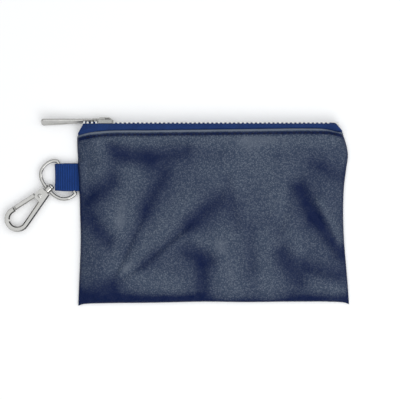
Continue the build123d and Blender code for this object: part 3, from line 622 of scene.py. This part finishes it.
def plated_metal(name, colour, smoothness, brushed, dulling):
    """Plated metal: hairline rubbing along X, cloudy dulling, tiny pits, and a roughness that follows them."""
    made = Recipe(name)
    grid = made.place.outputs["Object"]
    drawn = made.add("ShaderNodeMapping", {"Vector": grid})
    drawn.inputs["Scale"].default_value = (0.06, 1.0, 1.0)
    hair = made.noise(5200.0, 4.0, 0.7, drawn.outputs[0])
    cloud = made.noise(230.0, 4.0, 0.65)
    pits = made.noise(2600.0, 2.0, 0.5)
    dulled = made.ramp(cloud, 0.35, 0.7, smoothness, smoothness + dulling)
    rough = made.math("ADD", made.ramp(hair, 0.35, 0.65, 0.0, brushed), dulled)
    shade = made.blend(made.ramp(cloud, 0.3, 0.75, 0.0, 0.35), rgb(colour), rgb(colour, 0.72))
    shade = made.blend(made.ramp(pits, 0.66, 0.75, 0.0, 0.5), shade, rgb(colour, 0.45))
    relief = made.bump(made.math("ADD", hair, made.math("MULTIPLY", pits, 0.4)), 0.000012, 0.5)
    return made.set(Base_Color=shade, Roughness=rough, Normal=relief, Metallic=1.0)


def table_top(colours):
    """Plain pale table: matt, with the faintest cloud, and a little light of its own that softens shadows."""
    made = Recipe("table top")
    cloud = made.noise(6.0, 2.0)
    colour = made.blend(made.ramp(cloud, 0.3, 0.7, 0.0, 0.2), rgb(colours.floor), rgb(colours.floor, 0.985))
    glow = (1.0, 1.0, 1.0, 1.0)
    return made.set(
        Base_Color=colour, Roughness=0.9, Specular_IOR_Level=0.1, Emission_Color=glow, Emission_Strength=0.07
    )


def finish(name):
    """The soft material of that name, made the first time a piece asks for it."""
    colours = bpy.context.scene.bag_colours
    titles = {"sheet": "coated sheet", "tape": "zip tape", "webbing": "tab webbing", "thread": "sewing thread"}
    found = bpy.data.materials.get(titles[name])
    if found:
        return found
    if name == "sheet":
        return coated_sheet(colours)
    if name == "tape":
        return woven(titles[name], colours.tape, 1500.0, 1100.0, 0.00008, 1.7)
    if name == "webbing":
        return woven(titles[name], colours.webbing, 1700.0, 800.0, 0.00005, 1.35)
    return sewing_thread(colours)


# ---------------------------------------------------------------- operators
class BAG_OT_stage(bpy.types.Operator):
    """Set the camera above the bag, the pale table and the soft studio lights"""

    bl_idname = "bag.stage"
    bl_label = "Camera, table and lights"

    def execute(self, context):
        scene = context.scene
        lens = bpy.data.cameras.new("camera")
        lens.lens = CAMERA_LENS
        lens.sensor_width = CAMERA_SENSOR
        camera = bpy.data.objects.new("camera", lens)
        camera.location = CAMERA_AT
        scene.collection.objects.link(camera)
        scene.camera = camera
        scene.view_settings.view_transform = "Standard"
        side = np.array([-TABLE_REACH, TABLE_REACH])
        x, y = np.meshgrid(side, side, indexing="ij")
        corners = np.stack([x, y, np.full_like(x, TABLE_LEVEL)], -1).reshape(-1, 3)
        table = mesh_object("table_top", corners, [[0, 2, 3, 1]])
        table.data.materials.append(table_top(scene.bag_colours))
        world = bpy.data.worlds.new("studio")
        scene.world = world
        world.use_nodes = True
        tree = world.node_tree
        aim = tree.nodes.new("ShaderNodeTexCoord")
        parts = tree.nodes.new("ShaderNodeSeparateXYZ")
        tree.links.new(aim.outputs["Generated"], parts.inputs[0])
        larger = tree.nodes.new("ShaderNodeMath")
        larger.operation = "MAXIMUM"
        for i, band in enumerate(STUDIO_BANDS):
            strength = tree.nodes.new("ShaderNodeMapRange")
            tree.links.new(parts.outputs["Z"], strength.inputs["Value"])
            for socket, value in zip(strength.inputs[1:5], band):
                socket.default_value = value
            tree.links.new(strength.outputs["Result"], larger.inputs[i])
        tree.links.new(larger.outputs[0], tree.nodes["Background"].inputs["Strength"])
        tree.nodes["Background"].inputs["Color"].default_value = (0.97, 0.985, 1.0, 1.0)
        for name, place, width, height, power in LAMPS:
            lamp = bpy.data.lights.new(name, "AREA")
            lamp.shape = "RECTANGLE"
            lamp.size = width
            lamp.size_y = height
            lamp.energy = power
            light = bpy.data.objects.new(name, lamp)
            light.location = place
            light.rotation_euler = (-Vector(place)).to_track_quat("-Z", "Y").to_euler()
            scene.collection.objects.link(light)
        return {"FINISHED"}


class BAG_OT_front_sheet(bpy.types.Operator):
    """Make the front sheet of the pouch with its slack folds, stitched groove and rolled hem"""

    bl_idname = "bag.front_sheet"
    bl_label = "Front sheet"

    def execute(self, context):
        sizes = context.scene.bag_sizes
        roll = sizes.hem_radius / MM
        thick = sizes.sheet_thickness / MM
        x, y = plan_grid(sizes.columns, sizes.rows, 0.9 * roll)
        z = front_level(x, y, sizes)
        sides = np.minimum(x - through(LEFT_SIDE, y), through(RIGHT_SIDE, y) - x)
        edge = np.minimum(sides, y - bottom_line(x))
        wall = 0.06 + (thick - 0.06) * smooth(edge / 1.6)
        # the hem: half a roll whose upper half ends the outer grid and whose lower half ends the inner grid
        lip_x, lip_y = x[:, -1:], y[:, -1:] + 0.9 * roll
        middle = z[:, -1:] - 0.45 * roll
        turn = np.radians(np.linspace(140.0, 6.0, 9))[None, :]
        fit = np.minimum(roll, 0.5 * roll + 0.5 * wall[:, -1:])
        out, up = fit * np.cos(turn), fit * np.sin(turn)
        over = np.stack(np.broadcast_arrays(lip_x, lip_y + out, middle + up), -1)
        below = np.stack(np.broadcast_arrays(lip_x, lip_y + out, middle - up), -1)
        outer = np.concatenate([np.stack([x, y, z], -1), over], 1)
        inner = np.concatenate([np.stack([x, y, z - wall], -1), below], 1)
        # painted shading of the sheet, kept as a point attribute for its material: painted shade in the creases
        # and painted sheen on the ridges
        _, painted_shading = folds(outer[..., 0], outer[..., 1], 0.0)
        inside = lip_line(outer[..., 0]) - outer[..., 1]
        # painted shade along the groove of the topstitching, and a painted highlight on the rolled hem
        stitched = bell((inside - STITCH_IN + 0.15) / 1.15)
        painted_shading = np.clip(painted_shading + 1.3 * stitched - 1.5 * bell((inside + 0.25) / 0.8), -0.6, 1)
        rim = np.concatenate([edge, np.full(over.shape[:2], 9.0)], 1)
        low = outer[..., 1] - bottom_line(outer[..., 0])
        # painted shade where the sheet falls to its sewn edges and along a band above the bottom seam
        painted_shading = np.clip(painted_shading + 0.6 * bell(rim / 1.4) + 0.5 * bell(low / 5.0), -0.6, 1)
        piece = skin("front_sheet", outer, inner, outer[..., :2], {"painted_shading_map": painted_shading})
        settle(piece, "coated_sheet", finish("sheet"), "front_panel")
        return {"FINISHED"}


class BAG_OT_back_sheet(bpy.types.Operator):
    """Make the back sheet, which lies on the table with shallow folds pressed into it"""

    bl_idname = "bag.back_sheet"
    bl_label = "Back sheet"

    def execute(self, context):
        sizes = context.scene.bag_sizes
        thick = sizes.sheet_thickness / MM
        x, y = plan_grid(220, 130, 0.0)
        left = x - through(LEFT_SIDE, y)
        right = through(RIGHT_SIDE, y) - x
        edge = np.minimum(np.minimum(left, right), y - bottom_line(x))
        inside = lip_line(x) - y
        turn = 1 - np.sqrt(np.clip(1 - (1 - np.clip(edge / 1.7, 0, 1)) ** 2, 0, 1))
        slack = np.clip(rumple(x, y, 12, 16, 46, 11), 0, None) * smooth(edge / 8) * smooth((inside - 5) / 6)
        groove = 0.42 * bell((inside - STITCH_IN) / 0.7) * smooth((x + 80) / 6) * smooth((80 - x) / 6)
        low = (SEAM_LEVEL - 0.08) * turn + 0.35 * slack + groove
        wall = 0.06 + (thick - 0.06) * smooth(edge / 1.6) + 0.35 * bell(inside / 0.9)
        wall = wall * (1 - 0.6 * smooth(1 - inside / 0.35))
        low = low + 0.25 * smooth(1 - inside / 0.35)
        outer = np.stack([x, y, low], -1)[:, ::-1]
        inner = np.stack([x, y, low + wall - groove], -1)[:, ::-1]
        # painted shade where the slack lifts the sheet off the table, along the stitch groove and at the sewn
        # edges
        painted_shading = 0.8 * slack + 0.6 * bell((inside - STITCH_IN) / 1.2) + 0.4 * bell(edge / 1.5)
        painted_shading = np.clip(painted_shading, 0, 1)[:, ::-1]
        piece = skin("back_sheet", outer, inner, outer[..., :2], {"painted_shading_map": painted_shading})
        settle(piece, "coated_sheet", finish("sheet"), "back_panel")
        return {"FINISHED"}


def tape_section(x, facing, t, sizes):
    """Side view of a zip tape at each x, from the teeth (t = 0) to its hidden edge (t = 1). It leaves along the
    chain's plane, turns over, and runs level under the sheet: a smooth line through nine points. The front
    tape's bend falls at both ends of the zip."""
    if facing > 0:
        lip = lip_line(x)
        level = np.maximum(front_level(x, lip - 0.9, sizes) - 1.75, 1.1)
        hidden = smooth((x + 90) / 14) * smooth((86 - x) / 12)
        far = np.minimum(front_level(x, lip - 8.0, sizes), front_level(x, lip - 4.5, sizes)) - 1.45
        far = np.minimum(level, np.maximum(far - 0.5 * (1 - hidden), 1.1))
        fall = 2.0 * smooth((x - 80.5) / 4.0) + 1.3 * smooth((-84.5 - x) / 4)
        ys = [CHAIN_Y + CHAIN_SIN * w + CHAIN_COS * TAPE_LEVEL for w in (0.4, 2.0, 3.3)]
        zs = [CHAIN_Z + CHAIN_COS * w - CHAIN_SIN * TAPE_LEVEL for w in (0.4, 2.0, 3.3)]
        zs[2] = zs[2] - 0.3 * fall
        ys += [59.55, 58.9, lip + 1.5, lip + 0.2 - 0.4 * hidden]
        ys += [lip - 0.1 - 3.9 * hidden, lip - 0.5 - 8.0 * hidden]
        zs += [8.95 - fall, 9.68 - fall, level + (9.9 - fall - level) * 0.5, level, far, far]
    else:
        ys = [CHAIN_Y - CHAIN_SIN * w + CHAIN_COS * TAPE_LEVEL for w in (0.4, 2.0, 3.75)]
        zs = [CHAIN_Z - CHAIN_COS * w - CHAIN_SIN * TAPE_LEVEL for w in (0.4, 2.0, 3.75)]
        ys += [56.0, 55.2, 53.5, 51.5, 49.0, 46.5]
        zs += [1.5, 1.38, 1.35, 1.35, 1.35, 1.35]
    columns_y = np.stack([np.broadcast_to(v, x.shape) for v in ys])
    columns_z = np.stack([np.broadcast_to(v, x.shape) for v in zs])
    spans = len(ys) - 1
    i = np.clip((t * spans).astype(int), 0, spans - 1)
    s = (t * spans - i)[:, None]
    slope_y, slope_z = np.gradient(columns_y, axis=0), np.gradient(columns_z, axis=0)

    def hermite(values, slopes):
        a, b, m, n = values[i], values[i + 1], slopes[i], slopes[i + 1]
        leaving = a * (1 + 2 * s) * (1 - s) ** 2 + m * s * (1 - s) ** 2
        return leaving + b * s**2 * (3 - 2 * s) + n * s**2 * (s - 1)

    return hermite(columns_y, slope_y), hermite(columns_z, slope_z)


class BAG_OT_zip_tapes(bpy.types.Operator):
    """Make the two woven tapes that carry the zip teeth"""

    bl_idname = "bag.zip_tapes"
    bl_label = "Zip tapes"

    def execute(self, context):
        sizes = context.scene.bag_sizes
        thick = sizes.tape_thickness / MM
        t = np.linspace(0, 1, 49)
        s = np.linspace(0, 1, 321)
        tapes = (("front_zip_tape", "front_tape", 1), ("back_zip_tape", "back_tape", -1))
        for name, node, facing in tapes:
            y, z = tape_section(-88.0 + 172.0 * s, facing, t, sizes)
            y, z = y.T, z.T
            start = np.maximum(-86.6 - 0.6 * np.clip(59.6 - y, 0, None), -90.2)
            stop = np.minimum(81.0 + 0.95 * np.clip(59.6 - y, 0, None), 85.2)
            x = start + s[:, None] * (stop - start)
            dy, dz = np.gradient(y, axis=1), np.gradient(z, axis=1)
            long = np.hypot(dy, dz)
            rounded = np.clip(1 - (1 - np.clip(np.minimum(t, 1 - t) / 0.02, 0, 1)) ** 2, 0.04, 1)
            half = thick / 2 * np.sqrt(rounded)[None, :]
            outer = np.stack([x, y + dz / long * half, z - dy / long * half], -1)
            inner = np.stack([x, y - dz / long * half, z + dy / long * half], -1)
            uv = np.stack([x, np.cumsum(long, 1)], -1)
            if facing > 0:
                piece = skin(name, outer[:, ::-1], inner[:, ::-1], uv[:, ::-1])
            else:
                piece = skin(name, inner, outer, uv)
            settle(piece, "zip_tape", finish("tape"), node)
        return {"FINISHED"}


class BAG_OT_zip_beads(bpy.types.Operator):
    """Make the corded edge of each tape, a twisted round cord that parts near the slider, for the zip teeth"""

    bl_idname = "bag.zip_beads"
    bl_label = "Zip beads"

    def execute(self, context):
        x = np.linspace(-86.6, 80.6, 1003)[:, None]
        turn = np.linspace(0, math.tau, 12, endpoint=False)[None, :]
        apart = 1.2 + smooth((-70.5 - x) / 4.0)
        for name, facing in (("front_zip_bead", 1), ("back_zip_bead", -1)):
            closing = np.sqrt(np.clip(1 - ((x + 3.0) / 83.65) ** 60, 0.02, 1))
            size = (0.52 + 0.03 * np.cos(math.tau * x / 0.5 + turn)) * closing
            w = facing * apart + size * np.cos(turn)
            n = BEAD_LEVEL + size * np.sin(turn)
            y = CHAIN_Y + CHAIN_SIN * w + CHAIN_COS * n
            z = CHAIN_Z + CHAIN_COS * w - CHAIN_SIN * n
            verts = np.stack([np.broadcast_to(x, y.shape), y, z], -1)
            index = np.arange(verts[..., 0].size).reshape(y.shape)
            beside = np.roll(index, -1, 1)
            quad = np.stack([index[:-1], index[1:], beside[1:], beside[:-1]], -1).reshape(-1, 4)
            faces = quad.tolist() + [index[0].tolist(), index[-1, ::-1].tolist()]
            uv = np.stack(np.broadcast_arrays(x, turn * 0.6), -1).reshape(-1, 2)
            piece = mesh_object(name, verts.reshape(-1, 3), faces, uv)
            settle(piece, "zip_tape", finish("tape"))
        return {"FINISHED"}


class BAG_OT_stitching(bpy.types.Operator):
    """Sew the topstitching beside the zip, front and back, and the tab's hidden seam"""

    bl_idname = "bag.stitching"
    bl_label = "Stitching"

    def execute(self, context):
        sizes = context.scene.bag_sizes
        pitch, length = sizes.stitch_pitch / MM, sizes.stitch_length / MM
        x = -83.7 + pitch * np.arange(43)
        ahead = np.stack([x - 0.4 * length, x + 0.4 * length])
        y = lip_line(x) - STITCH_IN
        ends_y = lip_line(ahead) - STITCH_IN
        ends_z = front_level(ahead, ends_y, sizes)
        along = np.stack([ahead[1] - ahead[0], ends_y[1] - ends_y[0], ends_z[1] - ends_z[0]], -1)
        along = along / np.linalg.norm(along, axis=1, keepdims=True)
        up = np.cross(along, np.cross(np.array([[0.0, 0.0, 1.0]]), along))
        up = up / np.linalg.norm(up, axis=1, keepdims=True)
        centres = np.stack([x, y, front_level(x, y, sizes) + 0.12], -1)
        thread = finish("thread")
        piece = threads("front_stitching", centres, along, up, length, 0.62, 0.42)
        settle(piece, "thread", thread, "front_topstitch")
        x = -72.0 + pitch * np.arange(38)
        flat = np.tile([1.0, 0.0, 0.0], (len(x), 1))
        rise = np.tile([0.0, 0.0, 1.0], (len(x), 1))
        centres = np.stack([x, lip_line(x) - STITCH_IN, np.full_like(x, 0.24)], -1)
        piece = threads("back_stitching", centres, flat, rise, length, 0.6, 0.36)
        settle(piece, "thread", thread, "back_topstitch")
        low, high = (Vector(corner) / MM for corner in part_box("tab_stitches"))
        y = np.linspace(low.y + 1.2, high.y - 1.2, 6)
        centres = np.concatenate([
            np.stack([np.full_like(y, TAB_STITCH_X), y, np.full_like(y, level)], -1) for level in (1.1, 3.5)
        ])
        turned = np.tile([0.0, 1.0, 0.0], (len(centres), 1))
        rise = np.tile([0.0, 0.0, 1.0], (len(centres), 1))
        piece = threads("tab_stitching", centres, turned, rise, 2.2, 0.55, 0.3)
        settle(piece, "thread", thread, "tab_stitches")
        return {"FINISHED"}


class BAG_OT_webbing_tab(bpy.types.Operator):
    """Make the ribbed webbing loop that holds the clasp's eye"""

    bl_idname = "bag.webbing_tab"
    bl_label = "Webbing tab"

    def execute(self, context):
        sizes = context.scene.bag_sizes
        arc = np.radians(np.linspace(-90, -270, 15))
        bow_x = TAB_FOLD_X + TAB_FOLD_R * np.cos(arc)
        bow = np.stack([bow_x, TAB_MIDDLE_Z + TAB_FOLD_R * np.sin(arc)], -1).tolist()
        low, high = TAB_MIDDLE_Z - TAB_FOLD_R, TAB_MIDDLE_Z + TAB_FOLD_R
        points = [TAB_LOWER_END, (-86.0, 1.75), (TAB_SEAM_X, 1.72), (-93.5, 1.2), (-98.5, low)] + bow
        points += [(-98.5, high), (-95.0, 4.1), (TAB_SEAM_X - 1.2, 3.15), (-87.0, 2.88), TAB_UPPER_END]
        points = np.array(points)
        gone = np.concatenate([[0], np.cumsum(np.hypot(*np.diff(points, axis=0).T))])
        s = np.linspace(0, gone[-1], 521)
        x = through(np.stack([gone, points[:, 0]], -1), s)
        z = through(np.stack([gone, points[:, 1]], -1), s)
        dx, dz = np.gradient(x), np.gradient(z)
        long = np.hypot(dx, dz)
        nx, nz = dz / long, -dx / long
        half_width = sizes.webbing_width / MM / 2
        span = np.concatenate([
            np.linspace(-1, -0.945, 7), np.linspace(-0.93, 0.93, 19), np.linspace(0.945, 1, 7)
        ])
        selvedge = np.sqrt(np.clip(1 - (np.clip(np.abs(span) - 0.945, 0, 1) / 0.055) ** 2, 0.01, 1))
        wave = np.cos(math.tau * s / (sizes.rib_pitch / MM))[:, None]
        ribs = 0.12 * wave * smooth((0.93 - np.abs(span)) / 0.03)
        half = (sizes.webbing_thickness / MM / 2 - 0.12) * selvedge[None, :]
        waist = 1 - 0.04 * bell((x - TAB_FOLD_X + 1.5) / 3.5)[:, None] * np.abs(span) ** 3
        y = TAB_MIDDLE_Y + half_width * span[None, :] * waist
        cup = 0.28 * (1 - span[None, :] ** 2) * bell((x - TAB_FOLD_X + 1.9) / 1.4)[:, None]
        off_x, off_z = nx[:, None] * (half + ribs), nz[:, None] * (half + ribs)
        outer = np.stack([x[:, None] + off_x + cup, y, z[:, None] + off_z], -1)
        inner = np.stack([x[:, None] - off_x + cup, y, z[:, None] - off_z], -1)
        uv = np.stack(np.broadcast_arrays(s[:, None], y), -1)
        # painted shade in the valleys between the ribs and along the rounded edges, stored as the webbing's
        # point attribute
        gap = 0.5 - 0.5 * wave * np.ones_like(y)
        gap = np.maximum(gap, smooth((np.abs(span) - 0.88) / 0.1)[None, :] * 0.9)
        piece = skin("webbing_loop", outer[:, ::-1], inner[:, ::-1], uv[:, ::-1], {"painted_shading_map": gap[:, ::-1]})
        settle(piece, "webbing", finish("webbing"), "webbing_tab")
        return {"FINISHED"}


class BAG_OT_metal_finishes(bpy.types.Operator):
    """Plate the zip's metal, the slider and puller, and the swivel clasp"""

    bl_idname = "bag.metal_finishes"
    bl_label = "Metal finishes"

    def execute(self, context):
        colours = context.scene.bag_colours
        bright = plated_metal("bright teeth", colours.teeth, 0.28, 0.05, 0.12)
        slider = plated_metal("slider plating", colours.nickel, 0.20, 0.10, 0.14)
        clasp = plated_metal("clasp plating", colours.nickel, 0.05, 0.04, 0.09)
        steel = plated_metal("spring steel", colours.nickel, 0.24, 0.12, 0.12)
        finishes = {
            "front_teeth": bright, "back_teeth": bright, "top_stops": bright, "bottom_stop": bright,
            "slider_body": slider, "slider_crown": slider, "puller": slider,
            "clasp_eye": clasp, "swivel_stud": clasp, "hook_body": clasp, "gate": clasp, "gate_rivet": clasp,
            "lock_spring": steel, "gate_spring": steel,
        }
        for node, material in finishes.items():
            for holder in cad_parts[node].material_slots:
                holder.link = "OBJECT"
                holder.material = material
        return {"FINISHED"}


class BAG_PT_panel(bpy.types.Panel):
    """Sizes, colours and the steps that build the bag"""

    bl_idname = "BAG_PT_panel"
    bl_label = "Deposit bag"
    bl_space_type = "VIEW_3D"
    bl_region_type = "UI"
    bl_category = "Deposit bag"

    def draw(self, context):
        for group in (context.scene.bag_sizes, context.scene.bag_colours):
            box = self.layout.box()
            for key in group.__annotations__:
                box.prop(group, key)
        for step in STEPS:
            self.layout.operator(step.bl_idname)


STEPS = (
    BAG_OT_stage,
    BAG_OT_front_sheet,
    BAG_OT_back_sheet,
    BAG_OT_zip_tapes,
    BAG_OT_zip_beads,
    BAG_OT_stitching,
    BAG_OT_webbing_tab,
    BAG_OT_metal_finishes,
)


def register():
    for kind in (BagSizes, BagColours, *STEPS, BAG_PT_panel):
        bpy.utils.register_class(kind)
    bpy.types.Scene.bag_sizes = PointerProperty(type=BagSizes)
    bpy.types.Scene.bag_colours = PointerProperty(type=BagColours)


def unregister():
    del bpy.types.Scene.bag_colours
    del bpy.types.Scene.bag_sizes
    for kind in reversed((BagSizes, BagColours, *STEPS, BAG_PT_panel)):
        bpy.utils.unregister_class(kind)


def main():
    register()
    for step in STEPS:
        group, name = step.bl_idname.split(".")
        getattr(getattr(bpy.ops, group), name)()
    bpy.context.view_layer.update()


if __name__ == "__main__":
    main()
